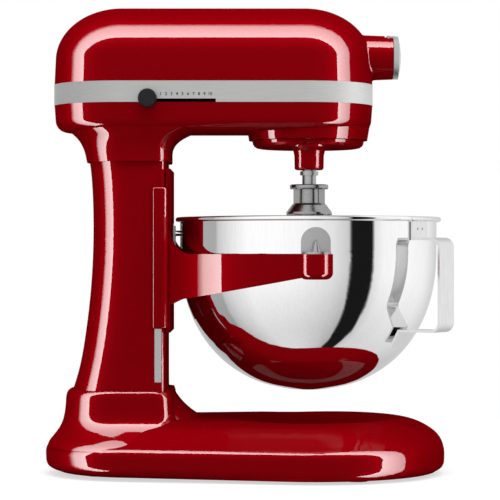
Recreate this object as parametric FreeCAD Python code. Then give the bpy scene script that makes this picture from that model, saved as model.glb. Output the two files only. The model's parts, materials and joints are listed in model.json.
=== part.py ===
import FreeCAD
import Part
import math
import os

V = FreeCAD.Vector
X_AXIS = V(1, 0, 0)
Y_AXIS = V(0, 1, 0)
Z_AXIS = V(0, 0, 1)

# Driving dimensions in millimetres. The mixer stands on z 0, its front looks to +x.

# Bowl and mixing axis
BOWL_X = 57.1
BOWL_R = 118.2
BOWL_WALL = 1.2
BOWL_BOTTOM_Z = 77.0
BOWL_ROUND_Z = 205.0
BOWL_POWER = 2.2
RIM_Z = 233.5
RIM_BEAD_R = 2.3
LIFT = 34.0

# Head
HEAD_REAR_X = -114.6
HEAD_FRONT_X = 54.0
HEAD_R = 62.4
HEAD_WALL = 4.0
HEAD_FLOOR_Z = 313.9
BAND_LOW_Z = 338.3
BAND_HIGH_Z = 357.4
BAND_T = 2.5
SPLIT_Z = 347.9
SHOULDER_Z = 380.0
SHOULDER_R = 61.3
HEAD_TOP_Z = 428.4
DRUM_LOW_Z = 306.4
DRUM_R = 57.4
DRUM_CEILING_Z = 318.5
GEAR_FLOOR_Z = 323.0

# Attachment hub
HUB_Z = 383.0
HUB_REAR_X = 96.0
HUB_END_X = 134.9
HUB_R = 19.9
HUB_BORE_R = 16.0
HUB_SEAT_X = 109.5
HINGE_X = HUB_END_X - 4.2
HINGE_Z = HUB_Z + 18.1
NOTCH_HALF = 8.7
CLAMP_X = 122.0

# Neck, column and base
NECK_LOW_Z = 286.0
COLUMN_FRONT_X = -72.9
COLUMN_HALF = 47.0
COLUMN_WALL = 4.5
COLUMN_FOOT_Z = 64.0
RAIL_X = -79.7
RAIL_W = 6.3
RAIL_LOW_Z = 86.0
RAIL_HIGH_Z = 226.0
BASE_REAR_X = -94.8
BASE_REAR_R = 90.0
BASE_FRONT_X = 67.6
BASE_FRONT_R = 115.0
BASE_LOW_Z = 3.0
BASE_TOP_Z = 52.0
FOOT_SIDE_Z = 20.0
BASE_SHELL = 6.0
DISH_R = 80.0
DISH_DEPTH = 10.0
FOOT_R = 12.0
FOOT_H = 6.0
FEET = [(-134, -28), (-134, 28), (98, -74), (98, 74), (150, 0)]
NECK_BOLTS = [(-124, -22), (-124, 22), (-88, -30), (-88, 30)]
BASE_BOLTS = [(-140, -22), (-140, 22), (-88, -32), (-88, 32)]

# Bowl support
PLATE_BACK_X = -72.4
PLATE_FRONT_X = -68.5
YOKE_IN_R = 125.4
YOKE_OUT_R = 135.6
ARM_TOP_Z = 202.0
PIN_X = BOWL_X + 3.5
PIN_Y = 129.4
CUP_R = 14.6
PLATE_TOP_Z = 279.0
PLATE_LOW_Z = 131.0

# Lift lever
LEVER_X = -98.0
LEVER_Z = 188.0
CRANK_R = LIFT / math.sqrt(2)
LEVER_LENGTH = 80.0
LEVER_SHAFT_R = 6.0

# Handle
HANDLE_ANGLE = -35.5
HANDLE_REACH = 148.0
HANDLE_W = 25.0
HANDLE_T = 2.2
HANDLE_TOP_Z = 215.5
HANDLE_LOW_Z = 133.5

# Drive train
RING_TEETH = 60
PINION_TEETH = 15
PLANET_MODULE = 1.5
BEATER_OFFSET = PLANET_MODULE * (RING_TEETH - PINION_TEETH) / 2
BEVEL_TEETH = 36
BEVEL_PINION_TEETH = 12
BEVEL_MODULE = 1.9
BEVEL_FACE = 9.5
SPUR_TEETH = 34
MOTOR_PINION_TEETH = 10
SPUR_MODULE = 1.0
MOTOR_Z = HUB_Z - SPUR_MODULE * (SPUR_TEETH + MOTOR_PINION_TEETH) / 2
MOTOR_R = 40.0
CORE_REAR_X = -84.0
CORE_FRONT_X = -38.0
MAIN_SHAFT_R = 8.0
SMALL_SHAFT_R = 4.5
SMALL_BEARING_R = 9.0
RUNNING_GAP = 0.05
BEATER_SHAFT_R = 6.35

# Whip
WHIP_LOOPS = 11
WHIP_R = 52.0
WHIP_SIDE_Z = 143.0
WIRE_R = 0.8
WHIP_RING_R = 18.0
WHIP_RING_Z = 239.0
LOOP_STEP = 1.75

# Speed lever
SPEED_X = -88.2
SPEED_Z = 341.2
SPEED_TRAVEL = 56.0
SLOT_LOW_Z = 338.3
SLOT_HIGH_Z = 341.3


def box(x0, x1, y0, y1, z0, z1):
    return Part.makeBox(x1 - x0, y1 - y0, z1 - z0, V(x0, y0, z0))


def rod(radius, start, axis, length):
    return Part.makeCylinder(radius, length, V(*start), axis)


def tube(outer, inner, start, axis, length):
    return rod(outer, start, axis, length).cut(rod(inner, start, axis, length))


def cone(low_r, high_r, start, axis, length):
    return Part.makeCone(low_r, high_r, length, V(*start), axis)


def join(shapes):
    return shapes[0].multiFuse(shapes[1:]).removeSplitter()


def line(a, b):
    return Part.makeLine(a, b)


def arc(a, b, c):
    return Part.Arc(a, b, c).toShape()


def path(points):
    return [line(a, b) for a, b in zip(points, points[1:])]


def face(edges):
    return Part.Face(Part.Wire(Part.__sortEdges__(edges)))


def turned(points, x, y=0.0):
    """Solid of revolution about a vertical axis from a closed outline of (radius, z) points."""
    corners = [V(r, 0, z) for r, z in points]
    outline = face(path(corners + corners[:1]))
    solid = outline.revolve(V(0, 0, 0), Z_AXIS, 360)
    solid.translate(V(x, y, 0))
    return solid


def plate_xz(points, y0, y1):
    """Flat plate from an outline in the xz plane, between two y values."""
    corners = [V(x, y0, z) for x, z in points]
    return face(path(corners + corners[:1])).extrude(V(0, y1 - y0, 0))


def on_circle(centre_x, centre_y, radius, degrees, z=0.0):
    angle = math.radians(degrees)
    return V(centre_x + radius * math.cos(angle), centre_y + radius * math.sin(angle), z)


def rounded_plan(z, rear, front, half, rear_round, front_round):
    """Closed plan outline with four rounded corners, larger rounds at the rear."""
    edges = []
    corners = [
        (front, half, front_round, 1, 1),
        (rear, half, rear_round, -1, 1),
        (rear, -half, rear_round, -1, -1),
        (front, -half, front_round, 1, -1),
    ]
    ends = []
    for x, y, r, sx, sy in corners:
        cx = x - sx * r
        cy = y - sy * r
        on_side = V(cx, y, z)
        on_end = V(x, cy, z)
        middle = V(cx + sx * r * math.sqrt(0.5), cy + sy * r * math.sqrt(0.5), z)
        if sx * sy > 0:
            ends.append((on_end, middle, on_side))
        else:
            ends.append((on_side, middle, on_end))
    for index, (first, middle, last) in enumerate(ends):
        edges.append(arc(first, middle, last))
        edges.append(line(last, ends[(index + 1) % 4][0]))
    return Part.Wire(edges)


def loft(wires):
    return Part.makeLoft(wires, True, False)


def two_circle_plan(z, rear_x, rear_r, front_x, front_r):
    """Plan outline of two circles with their common tangents."""
    slope = math.degrees(math.acos((rear_r - front_r) / (front_x - rear_x)))
    rear_top = on_circle(rear_x, 0, rear_r, slope, z)
    rear_low = on_circle(rear_x, 0, rear_r, -slope, z)
    front_top = on_circle(front_x, 0, front_r, slope, z)
    front_low = on_circle(front_x, 0, front_r, -slope, z)
    return Part.Wire([
        arc(front_low, V(front_x + front_r, 0, z), front_top),
        line(front_top, rear_top),
        arc(rear_top, V(rear_x - rear_r, 0, z), rear_low),
        line(rear_low, front_low),
    ])


def stadium(half_section):
    """Run a half section, a face with y outwards and z up, round the plan of the head."""
    left = half_section.copy()
    right = half_section.mirror(V(0, 0, 0), Y_AXIS)
    left.translate(V(HEAD_REAR_X, 0, 0))
    right.translate(V(HEAD_REAR_X, 0, 0))
    length = V(HEAD_FRONT_X - HEAD_REAR_X, 0, 0)
    front_start = right.copy()
    front_start.translate(length)
    rear_end = left.revolve(V(HEAD_REAR_X, 0, 0), Z_AXIS, 180)
    front_end = front_start.revolve(V(HEAD_FRONT_X, 0, 0), Z_AXIS, 180)
    return join([rear_end, left.extrude(length), right.extrude(length), front_end])


def section(points):
    """Straight pieces of a half section from (radius, z) points."""
    return path([V(0, r, z) for r, z in points])


def dome_section(lower_points, radius, top_z):
    """Half section that ends in a quarter ellipse up to the crown."""
    crown = V(0, 0, top_z)
    centre = V(0, 0, SHOULDER_Z)
    ellipse = Part.Ellipse(V(0, radius, SHOULDER_Z), crown, centre)
    quarter = Part.ArcOfEllipse(ellipse, 0, math.pi / 2).toShape()
    foot = V(0, 0, lower_points[0][1])
    return face(section(lower_points) + [quarter, line(crown, foot)])


def tub_section(radius, edge_r, low_z, points):
    """Half section with a flat floor and a rounded lower edge."""
    flat = radius - edge_r
    side_z = low_z + edge_r
    slant = edge_r * math.sqrt(0.5)
    floor = line(V(0, 0, low_z), V(0, flat, low_z))
    edge = arc(V(0, flat, low_z), V(0, flat + slant, side_z - slant), V(0, radius, side_z))
    rest = section([(radius, side_z)] + points + [(0, points[-1][1]), (0, low_z)])
    return face([floor, edge] + rest)


def neck_loft():
    plans = [
        (NECK_LOW_Z, -146.6, -69.7, 51.0),
        (293.5, -148.2, -69.4, 51.2),
        (299.5, -150.2, -68.6, 52.0),
        (305.0, -153.2, -65.4, 53.6),
        (311.0, -158.6, -57.5, 56.0),
        (317.0, -166.0, -45.0, 58.0),
    ]
    return loft([rounded_plan(z, rear, front, half, half - 6, 16) for z, rear, front, half in plans])


def head_lower_case():
    recess = HEAD_R - BAND_T
    shell = stadium(tub_section(61.4, 11.0, HEAD_FLOOR_Z, [
        (HEAD_R, BAND_LOW_Z), (recess, BAND_LOW_Z), (recess, SPLIT_Z)]))
    drum = cone(DRUM_R - 2.8, DRUM_R, (BOWL_X, 0, DRUM_LOW_Z), Z_AXIS, GEAR_FLOOR_Z - DRUM_LOW_Z)
    body = join([shell, neck_loft(), drum])
    inner = recess - 3.5
    hollow = stadium(tub_section(57.4, 10.5, HEAD_FLOOR_Z + HEAD_WALL, [
        (HEAD_R - HEAD_WALL, BAND_LOW_Z - 2), (inner, BAND_LOW_Z), (inner, SPLIT_Z + 1)]))
    gear_floor = rod(54.5, (BOWL_X, 0, HEAD_FLOOR_Z), Z_AXIS, GEAR_FLOOR_Z - HEAD_FLOOR_Z)
    bearing_boss = rod(20, (BOWL_X, 0, GEAR_FLOOR_Z - 1), Z_AXIS, 24)
    hollow = hollow.cut(gear_floor).cut(bearing_boss)
    wire_way = loft([
        rounded_plan(NECK_LOW_Z + 7, -140, -77, 44, 34, 8),
        rounded_plan(HEAD_FLOOR_Z + 6, -140, -77, 44, 34, 8)])
    cup = rod(50, (BOWL_X, 0, DRUM_LOW_Z - 1), Z_AXIS, DRUM_CEILING_Z - DRUM_LOW_Z + 1)
    bearing_bore = rod(13, (BOWL_X, 0, DRUM_CEILING_Z - 1), Z_AXIS, 40)
    slot = box(SPEED_X - 5, SPEED_X + SPEED_TRAVEL + 5, -65, -50, SLOT_LOW_Z, SLOT_HIGH_Z + 0.4)
    body = body.cut(hollow).cut(wire_way).cut(cup).cut(bearing_bore).cut(slot)
    for x, y in NECK_BOLTS:
        body = body.cut(rod(3.0, (x, y, NECK_LOW_Z - 1), Z_AXIS, 20))
    saddles = []
    for x in (-70, -48):
        saddle = box(x, x + 6, -30, 30, HEAD_FLOOR_Z + 2, 336)
        saddles.append(saddle.cut(rod(MOTOR_R, (x - 1, 0, MOTOR_Z), X_AXIS, 8)))
    return join([body] + saddles)


def head_top_cover():
    recess = HEAD_R - BAND_T
    outer = stadium(dome_section([
        (0, SPLIT_Z + 0.1), (recess, SPLIT_Z + 0.1), (recess, BAND_HIGH_Z),
        (HEAD_R, BAND_HIGH_Z), (SHOULDER_R, SHOULDER_Z)], SHOULDER_R, HEAD_TOP_Z))
    inner_r = SHOULDER_R - HEAD_WALL
    inner = stadium(dome_section([
        (0, SPLIT_Z - 1), (recess - 3.5, SPLIT_Z - 1), (recess - 3.5, BAND_HIGH_Z + 2),
        (inner_r, SHOULDER_Z)], inner_r, HEAD_TOP_Z - HEAD_WALL))
    shell = outer.cut(inner)
    hub = cone(21.5, HUB_R, (HUB_REAR_X, 0, HUB_Z), X_AXIS, HUB_END_X - HUB_REAR_X)
    boss = rod(8.5, (CLAMP_X, 10, HUB_Z), Y_AXIS, 17)
    cover = join([shell, hub, boss])
    roots = []
    for edge in cover.Edges:
        span = edge.BoundBox
        round_hub = span.YLength > 20 and abs(edge.CenterOfMass.z - HUB_Z) < 22
        if round_hub and span.XMin > 106 and span.XMax < 117 and span.XLength > 3.5:
            roots.append(edge)
    cover = cover.makeFillet(2.0, roots)
    seat = rod(HUB_BORE_R, (HUB_SEAT_X, 0, HUB_Z), X_AXIS, 60)
    socket_room = rod(13.0, (HUB_REAR_X + 5.2, 0, HUB_Z), X_AXIS, 20)
    bearing_room = rod(SMALL_BEARING_R, (90, 0, HUB_Z), X_AXIS, 20)
    notch = box(HINGE_X - 3.2, HUB_END_X + 1, -NOTCH_HALF, NOTCH_HALF, HINGE_Z - 3, HUB_Z + 24)
    hinge_hole = rod(1.2, (HINGE_X, -12.5, HINGE_Z), Y_AXIS, 25)
    clamp_hole = rod(4.05, (CLAMP_X, 5, HUB_Z), Y_AXIS, 40)
    for cutter in (seat, socket_room, bearing_room, notch, hinge_hole, clamp_hole):
        cover = cover.cut(cutter)
    return cover


def trim_band():
    band = stadium(face(section([
        (HEAD_R - BAND_T, BAND_LOW_Z), (HEAD_R + 0.3, BAND_LOW_Z), (HEAD_R + 0.3, BAND_HIGH_Z),
        (HEAD_R - BAND_T, BAND_HIGH_Z), (HEAD_R - BAND_T, BAND_LOW_Z)])))
    slot = box(SPEED_X - 5, SPEED_X + SPEED_TRAVEL + 5, -65, -50, SLOT_LOW_Z - 1, SLOT_HIGH_Z)
    return band.cut(slot)


def hub_cover():
    plate = rod(HUB_R, (HUB_END_X + 0.4, 0, HUB_Z), X_AXIS, 4.6)
    crown = V(HUB_END_X + 7.6, 0, HUB_Z)
    edge_x = HUB_END_X + 5.0
    dome_edge = arc(V(edge_x, 0, HUB_Z + HUB_R), V(HUB_END_X + 6.9, 0, HUB_Z + 11), crown)
    half = face([dome_edge, line(crown, V(edge_x, 0, HUB_Z)),
                 line(V(edge_x, 0, HUB_Z), V(edge_x, 0, HUB_Z + HUB_R))])
    dome = half.revolve(V(edge_x, 0, HUB_Z), X_AXIS, 360)
    knuckle = rod(1.9, (HINGE_X, -NOTCH_HALF + 0.4, HINGE_Z), Y_AXIS, 2 * NOTCH_HALF - 0.8)
    web = box(HINGE_X, HUB_END_X + 2, -NOTCH_HALF + 0.4, NOTCH_HALF - 0.4, HINGE_Z - 1.6, HINGE_Z + 1.4)
    cover = join([plate, dome, knuckle, web])
    return cover.cut(rod(1.25, (HINGE_X, -20, HINGE_Z), Y_AXIS, 40))


def hub_hinge_pin():
    return rod(1.2, (HINGE_X, -12.0, HINGE_Z), Y_AXIS, 24)


def attachment_knob():
    knob = rod(12.5, (CLAMP_X, 30, HUB_Z), Y_AXIS, 15)
    for index in range(12):
        angle = math.radians(30 * index)
        x = CLAMP_X + 13.6 * math.cos(angle)
        z = HUB_Z + 13.6 * math.sin(angle)
        knob = knob.cut(rod(2.2, (x, 27, z), Y_AXIS, 20))
    return knob.cut(rod(4, (CLAMP_X, 29, HUB_Z), Y_AXIS, 9))


def attachment_screw():
    return rod(4, (CLAMP_X, 16.6, HUB_Z), Y_AXIS, 21.4)


def column_plans(inset):
    rows = [
        (COLUMN_FOOT_Z, -160.6, 50.0), (80.0, -158.8, 48.6), (94.0, -154.6, COLUMN_HALF),
        (111.0, -150.9, COLUMN_HALF), (135.0, -147.2, COLUMN_HALF), (160.0, -144.2, COLUMN_HALF),
        (190.0, -141.9, COLUMN_HALF), (224.0, -140.9, COLUMN_HALF), (252.0, -141.4, COLUMN_HALF),
        (271.0, -142.5, COLUMN_HALF), (NECK_LOW_Z, -144.2, COLUMN_HALF),
    ]
    wires = []
    for z, rear, half in rows:
        wires.append(rounded_plan(z, rear + inset, COLUMN_FRONT_X - inset, half - inset,
                                  half - inset - 3, 6 - inset / 2))
    return wires


def column():
    body = loft(column_plans(0))
    hollow = loft(column_plans(COLUMN_WALL))
    top_plate = box(-170, -60, -60, 60, NECK_LOW_Z - 7, NECK_LOW_Z)
    foot_plate = box(-170, -60, -60, 60, COLUMN_FOOT_Z, COLUMN_FOOT_Z + 7)
    hollow = hollow.cut(top_plate).cut(foot_plate)
    body = body.cut(hollow)
    lever_boss = rod(11.5, (LEVER_X, 26, LEVER_Z), Y_AXIS, 20)
    body = join([body, lever_boss])
    body = body.cut(rod(8.5, (LEVER_X, 20, LEVER_Z), Y_AXIS, 40))
    yoke_window = box(-80, -70, -14, 14, 150, 230)
    body = body.cut(yoke_window)
    half = RAIL_W / 2
    for side in (-1, 1):
        low, high = sorted((side * (COLUMN_HALF - 3.6), side * (COLUMN_HALF + 8)))
        body = body.cut(box(RAIL_X - half, RAIL_X + half, low, high, RAIL_LOW_Z, RAIL_HIGH_Z))
    for x, y in NECK_BOLTS:
        body = body.cut(rod(3.3, (x, y, NECK_LOW_Z - 12), Z_AXIS, 14))
    for x, y in BASE_BOLTS:
        body = body.cut(rod(3.3, (x, y, COLUMN_FOOT_Z - 2), Z_AXIS, 14))
    return body.cut(rod(7, (-170, 0, 104), X_AXIS, 40))


def guide_rails():
    rails = []
    for side in (-1, 1):
        low, high = sorted((side * (COLUMN_HALF - 3.6), side * (COLUMN_HALF - 0.5)))
        rails.append(box(RAIL_X - RAIL_W / 2, RAIL_X + RAIL_W / 2, low, high, RAIL_LOW_Z, RAIL_HIGH_Z))
    return Part.makeCompound(rails)


def cord_grommet():
    grommet = rod(7, (-170, 0, 104), X_AXIS, 26).common(loft(column_plans(0)))
    return grommet.cut(rod(3.6, (-170, 0, 104), X_AXIS, 40))


def column_bolts():
    made = []
    for places, head_z in ((NECK_BOLTS, NECK_LOW_Z - 7), (BASE_BOLTS, COLUMN_FOOT_Z - 8)):
        for x, y in places:
            head = rod(5.2, (x, y, head_z - 4), Z_AXIS, 4)
            shank = rod(3.0, (x, y, head_z), Z_AXIS, 15)
            made.append(head.fuse(shank).removeSplitter())
    return Part.makeCompound(made)


def foot_body(inset, drop):
    """Foot between two circles in plan. Each row gives its height and how far the sides, the front
    end and the rear end stand back there: upright sides with a small shoulder, a rounder front end
    and an undercut lower edge."""
    rows = [(BASE_LOW_Z, 2.0, 8.0, 13.0), (5.0, 1.2, 4.6, 7.6), (8.0, 0.4, 1.4, 2.6),
            (12.0, 0.0, 0.2, 0.5), (FOOT_SIDE_Z, 0.0, 0.0, 0.0), (24.0, 0.5, 0.5, 0.5),
            (27.5, 2.3, 1.4, 2.3), (30.2, 5.6, 2.4, 5.6), (34.0, 11.0, 4.4, 11.0),
            (39.0, 17.8, 9.0, 17.8), (44.0, 24.6, 16.2, 24.6), (47.8, 30.8, 24.0, 30.8),
            (50.3, 37.0, 32.0, 37.0), (51.6, 43.0, 40.0, 43.0), (BASE_TOP_Z, 50.0, 48.0, 50.0)]
    squeeze = 1 - drop / (BASE_TOP_Z - FOOT_SIDE_Z)
    wires = []
    for z, side_in, front_in, rear_in in rows:
        if z > FOOT_SIDE_Z:
            z = FOOT_SIDE_Z + (z - FOOT_SIDE_Z) * squeeze
        front_x = BASE_FRONT_X + side_in - front_in
        wires.append(two_circle_plan(z, BASE_REAR_X, BASE_REAR_R - rear_in - inset,
                                     front_x, BASE_FRONT_R - side_in - inset))
    return loft(wires)


def collar_loft(inset):
    """Collar round the foot of the column: upright walls that flare out into the foot below."""
    rows = [
        (26.0, -183.0, -34.0, 86.0, 36.0), (32.0, -180.2, -40.0, 80.8, 34.0),
        (36.0, -177.0, -46.0, 76.2, 32.0), (40.0, -173.8, -51.6, 71.4, 29.0),
        (46.0, -170.2, -58.6, 64.8, 24.0), (52.0, -168.1, -63.2, 60.6, 19.0),
        (58.0, -166.9, -65.0, 58.9, 17.0), (66.0, -166.1, -66.0, 58.2, 16.0),
        (73.0, -165.4, -66.6, 57.8, 16.0), (76.4, -164.0, -67.4, 57.0, 16.0),
        (78.0, -162.2, -68.0, 55.8, 16.0),
    ]
    return loft([rounded_plan(z, rear + inset, front - inset, half - inset, half - inset - 6, corner)
                 for z, rear, front, half, corner in rows])


def collar_ramp(inset):
    """Concave tongue that runs from the front of the collar down to the top of the foot."""
    rows = [
        (30.0, -12.0, 50.0, 34.0), (44.0, -27.0, 46.0, 34.0), (51.0, -39.5, 43.0, 34.0),
        (58.0, -50.4, 41.0, 33.0), (66.0, -59.2, 40.0, 32.0), (73.0, -64.6, 39.4, 31.0),
        (77.8, -67.4, 39.0, 30.0),
    ]
    return loft([rounded_plan(z, -110.0, front - inset, half - inset, 8, corner - inset)
                 for z, front, half, corner in rows])


def dish_ball(extra):
    """Ball cap that hollows the top of the foot under the bowl."""
    ball_r = (DISH_R ** 2 + DISH_DEPTH ** 2) / (2 * DISH_DEPTH)
    ball = Part.makeSphere(ball_r + extra, V(BOWL_X + 4, 0, BASE_TOP_Z - DISH_DEPTH + ball_r))
    return ball.common(rod(DISH_R + 2, (BOWL_X + 4, 0, 0), Z_AXIS, BASE_TOP_Z + 5))


def base_hollow():
    foot = foot_body(BASE_SHELL, BASE_SHELL + 1)
    collar = join([collar_loft(BASE_SHELL + 1), collar_ramp(BASE_SHELL + 1)])
    collar.translate(V(0, 0, -BASE_SHELL - 1))
    collar = collar.common(box(-200, 0, -90, 90, 0, COLUMN_FOOT_Z - 8))
    hollow = join([foot, collar]).cut(dish_ball(BASE_SHELL))
    for x, y in FEET:
        hollow = hollow.cut(rod(FOOT_R + 1.5, (x, y, FOOT_H), Z_AXIS, 60))
    ribs = [box(-190, 190, -2, 2, 12, 70)]
    for x in (-66, -10, 56, 112):
        ribs.append(box(x - 2, x + 2, -130, 130, 12, 70))
    for rib in ribs:
        hollow = hollow.cut(rib)
    return hollow


def base():
    body = join([foot_body(0, 0), collar_loft(0), collar_ramp(0)])
    body = body.cut(dish_ball(0))
    socket = loft(column_plans(-0.25)).common(box(-200, -50, -80, 80, COLUMN_FOOT_Z, 120))
    body = body.cut(socket).cut(base_hollow())
    for x, y in FEET:
        body = body.cut(rod(2.2, (x, y, FOOT_H - 1), Z_AXIS, 17))
    for x, y in BASE_BOLTS:
        body = body.cut(rod(3.3, (x, y, 40), Z_AXIS, 30))
        body = body.cut(rod(6.0, (x, y, 40), Z_AXIS, COLUMN_FOOT_Z - 8 - 40))
    return body


def base_feet():
    feet = []
    for x, y in FEET:
        foot = cone(FOOT_R - 1.5, FOOT_R, (x, y, 0), Z_AXIS, FOOT_H)
        recess = rod(4.5, (x, y, -1), Z_AXIS, 4)
        hole = rod(2.2, (x, y, -1), Z_AXIS, 10)
        feet.append(foot.cut(recess).cut(hole))
    return Part.makeCompound(feet)


def foot_screws():
    screws = []
    for x, y in FEET:
        head = rod(4.0, (x, y, 1.0), Z_AXIS, 2.0)
        screws.append(head.fuse(rod(2.0, (x, y, 1.0), Z_AXIS, 19)).removeSplitter())
    return Part.makeCompound(screws)


def arm_side_view():
    """Outline of plate and arm as seen from the side, extruded across the whole width."""
    root_r = 20.0
    slant = root_r * math.sqrt(0.5)
    curve_x = PLATE_FRONT_X + root_r
    curve_z = ARM_TOP_Z + root_r
    tip_x = PIN_X + 1.5
    arm_low_root = 162.0
    arm_low_tip = 184.0
    points_low = [V(PLATE_BACK_X, 0, PLATE_LOW_Z), V(PLATE_FRONT_X, 0, PLATE_LOW_Z),
                  V(PLATE_FRONT_X, 0, arm_low_root - 6), V(-56, 0, arm_low_root),
                  V(tip_x, 0, arm_low_tip), V(tip_x, 0, ARM_TOP_Z), V(curve_x, 0, ARM_TOP_Z)]
    bend_middle = V(curve_x - slant, 0, curve_z - slant)
    bend = arc(V(curve_x, 0, ARM_TOP_Z), bend_middle, V(PLATE_FRONT_X, 0, curve_z))
    points_high = [V(PLATE_FRONT_X, 0, curve_z), V(PLATE_FRONT_X, 0, PLATE_TOP_Z),
                   V(PLATE_BACK_X, 0, PLATE_TOP_Z), V(PLATE_BACK_X, 0, PLATE_LOW_Z)]
    outline = face(path(points_low) + [bend] + path(points_high))
    outline.translate(V(0, -160, 0))
    return outline.extrude(V(0, 320, 0))


def slide_wrap():
    """Part of the slide that wraps round both front edges of the column."""
    outline = rounded_plan(134.5, -84.4, PLATE_FRONT_X, COLUMN_HALF + 5, 2, 10)
    wrap = Part.Face(outline).extrude(V(0, 0, 128))
    inner = COLUMN_HALF + 0.5
    wrap = wrap.cut(box(-100, PLATE_BACK_X, -inner, inner, 100, 300))
    ends = []
    for edge in wrap.Edges:
        span = edge.BoundBox
        outside = max(abs(span.YMin), abs(span.YMax)) > inner + 4 or span.XMax > PLATE_FRONT_X - 0.1
        if span.ZLength < 0.1 and edge.Length > 3 and outside:
            ends.append(edge)
    return wrap.makeFillet(2.0, ends)


def bowl_support():
    height = PLATE_TOP_Z - PLATE_LOW_Z
    hoop = tube(YOKE_OUT_R, YOKE_IN_R, (BOWL_X, 0, PLATE_LOW_Z), Z_AXIS, height)
    plate = box(PLATE_BACK_X, PLATE_FRONT_X, -46, 46, PLATE_LOW_Z, PLATE_TOP_Z)
    frame = join([hoop.common(arm_side_view()), plate, slide_wrap()])
    cups = []
    for side in (-1, 1):
        cup = rod(CUP_R, (PIN_X, side * PIN_Y, 180), Z_AXIS, ARM_TOP_Z - 180)
        low_edges = [e for e in cup.Edges if abs(e.CenterOfMass.z - 180) < 0.1]
        cups.append(cup.makeFillet(6.0, low_edges))
    whole = join([frame] + cups)
    whole = whole.cut(rod(BOWL_R + 2.4, (BOWL_X, 0, 120), Z_AXIS, 95))
    whole = whole.cut(rod(YOKE_IN_R - 0.6, (BOWL_X, 0, 206), Z_AXIS, 80))
    for side in (-1, 1):
        whole = whole.cut(rod(4, (PIN_X, side * PIN_Y, 190), Z_AXIS, 20))
    return whole


def slide_pads():
    pads = []
    for side in (-1, 1):
        for z in (142, 204):
            low, high = sorted((side * (COLUMN_HALF - 0.2), side * (COLUMN_HALF + 0.5)))
            pads.append(box(RAIL_X - 2.6, RAIL_X + 2.6, low, high, z, z + 18))
    return Part.makeCompound(pads)


def locating_pins():
    profile = [(0, 190), (4, 190), (4, 204.5), (1.4, 213.2), (0, 214)]
    return Part.makeCompound([turned(profile, PIN_X, side * PIN_Y) for side in (-1, 1)])


def lift_yoke():
    level = LEVER_Z + LIFT / 2
    rear = LEVER_X - CRANK_R - 11
    blade = box(rear, PLATE_BACK_X, -3, 3, level - 10.5, level + 10.5)
    foot = box(PLATE_BACK_X - 3.5, PLATE_BACK_X, -11, 11, level - 10.5, level + 10.5)
    slot_r = 6.0
    slot_rear = LEVER_X - CRANK_R - 0.8
    slot_front = LEVER_X - CRANK_R * math.sqrt(0.5) + 0.8
    ends = [rod(slot_r, (x, -5, level), Y_AXIS, 10) for x in (slot_rear, slot_front)]
    middle = box(slot_rear, slot_front, -5, 5, level - slot_r, level + slot_r)
    return join([blade, foot]).cut(join(ends + [middle]))


def lever_bush():
    return tube(8.5, LEVER_SHAFT_R + RUNNING_GAP, (LEVER_X, 26, LEVER_Z), Y_AXIS, 22)


def crank_pin_place():
    return LEVER_X - CRANK_R * math.sqrt(0.5), LEVER_Z + CRANK_R * math.sqrt(0.5)


def crank_shaft():
    """Lever shaft with the crank arm and its pin welded to the inner end."""
    x, z = crank_pin_place()
    shaft = rod(LEVER_SHAFT_R, (LEVER_X, 5, LEVER_Z), Y_AXIS, 55)
    hub = rod(11, (LEVER_X, 5, LEVER_Z), Y_AXIS, 7)
    end = rod(6.5, (x, 5, z), Y_AXIS, 7)
    run = plate_xz([(LEVER_X - 5, LEVER_Z - 5), (LEVER_X + 5, LEVER_Z + 5),
                    (x + 4, z + 4), (x - 4, z - 4)], 5, 12)
    pin = rod(3, (x, -4, z), Y_AXIS, 12)
    return join([shaft, hub, end, run, pin])


def crank_roller():
    x, z = crank_pin_place()
    return tube(5.0, 3.0, (x, -3.6, z), Y_AXIS, 7.2)


def lift_lever():
    hub = rod(10.5, (LEVER_X, 53, LEVER_Z), Y_AXIS, 9)
    top_z = LEVER_Z + LEVER_LENGTH
    bar = plate_xz([(LEVER_X - 7.5, LEVER_Z), (LEVER_X + 7.5, LEVER_Z),
                    (LEVER_X + 5, top_z), (LEVER_X - 5, top_z)], 54, 59)
    end = rod(5, (LEVER_X, 54, top_z), Y_AXIS, 5)
    stud = rod(3.5, (LEVER_X, 56, top_z - 6), Y_AXIS, 16)
    lever = join([hub, bar, end, stud])
    return lever.cut(rod(LEVER_SHAFT_R, (LEVER_X, 50, LEVER_Z), Y_AXIS, 10))


def lever_knob():
    knob = rod(9.5, (LEVER_X, 59.2, LEVER_Z + LEVER_LENGTH - 6), Y_AXIS, 26)
    knob = knob.makeFillet(4.0, [e for e in knob.Edges if abs(e.CenterOfMass.y - 85.2) < 0.1])
    return knob.cut(rod(3.5, (LEVER_X, 55, LEVER_Z + LEVER_LENGTH - 6), Y_AXIS, 17))


def bowl_curve(radius, bottom_z):
    """Lower bowl wall: a rounded curve of power BOWL_POWER from the straight wall to the bottom."""
    depth = BOWL_ROUND_Z - bottom_z
    points = []
    for step in range(11):
        angle = math.radians(9 * step)
        r = radius * math.cos(angle) ** (2 / BOWL_POWER)
        z = BOWL_ROUND_Z - depth * math.sin(angle) ** (2 / BOWL_POWER)
        points.append(V(r, 0, z))
    points[-1] = V(0, 0, bottom_z)
    curve = Part.BSplineCurve()
    curve.interpolate(points, InitialTangent=V(0, 0, -1), FinalTangent=V(-1, 0, 0))
    return curve.toShape()


def bowl_outline(radius, bottom_z):
    wall = path([V(0, 0, bottom_z), V(0, 0, RIM_Z), V(radius, 0, RIM_Z), V(radius, 0, BOWL_ROUND_Z)])
    return face([bowl_curve(radius, bottom_z)] + wall)


def bowl_fill(radius, bottom_z):
    solid = bowl_outline(radius, bottom_z).revolve(V(0, 0, 0), Z_AXIS, 360)
    solid.translate(V(BOWL_X, 0, 0))
    return solid


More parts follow.
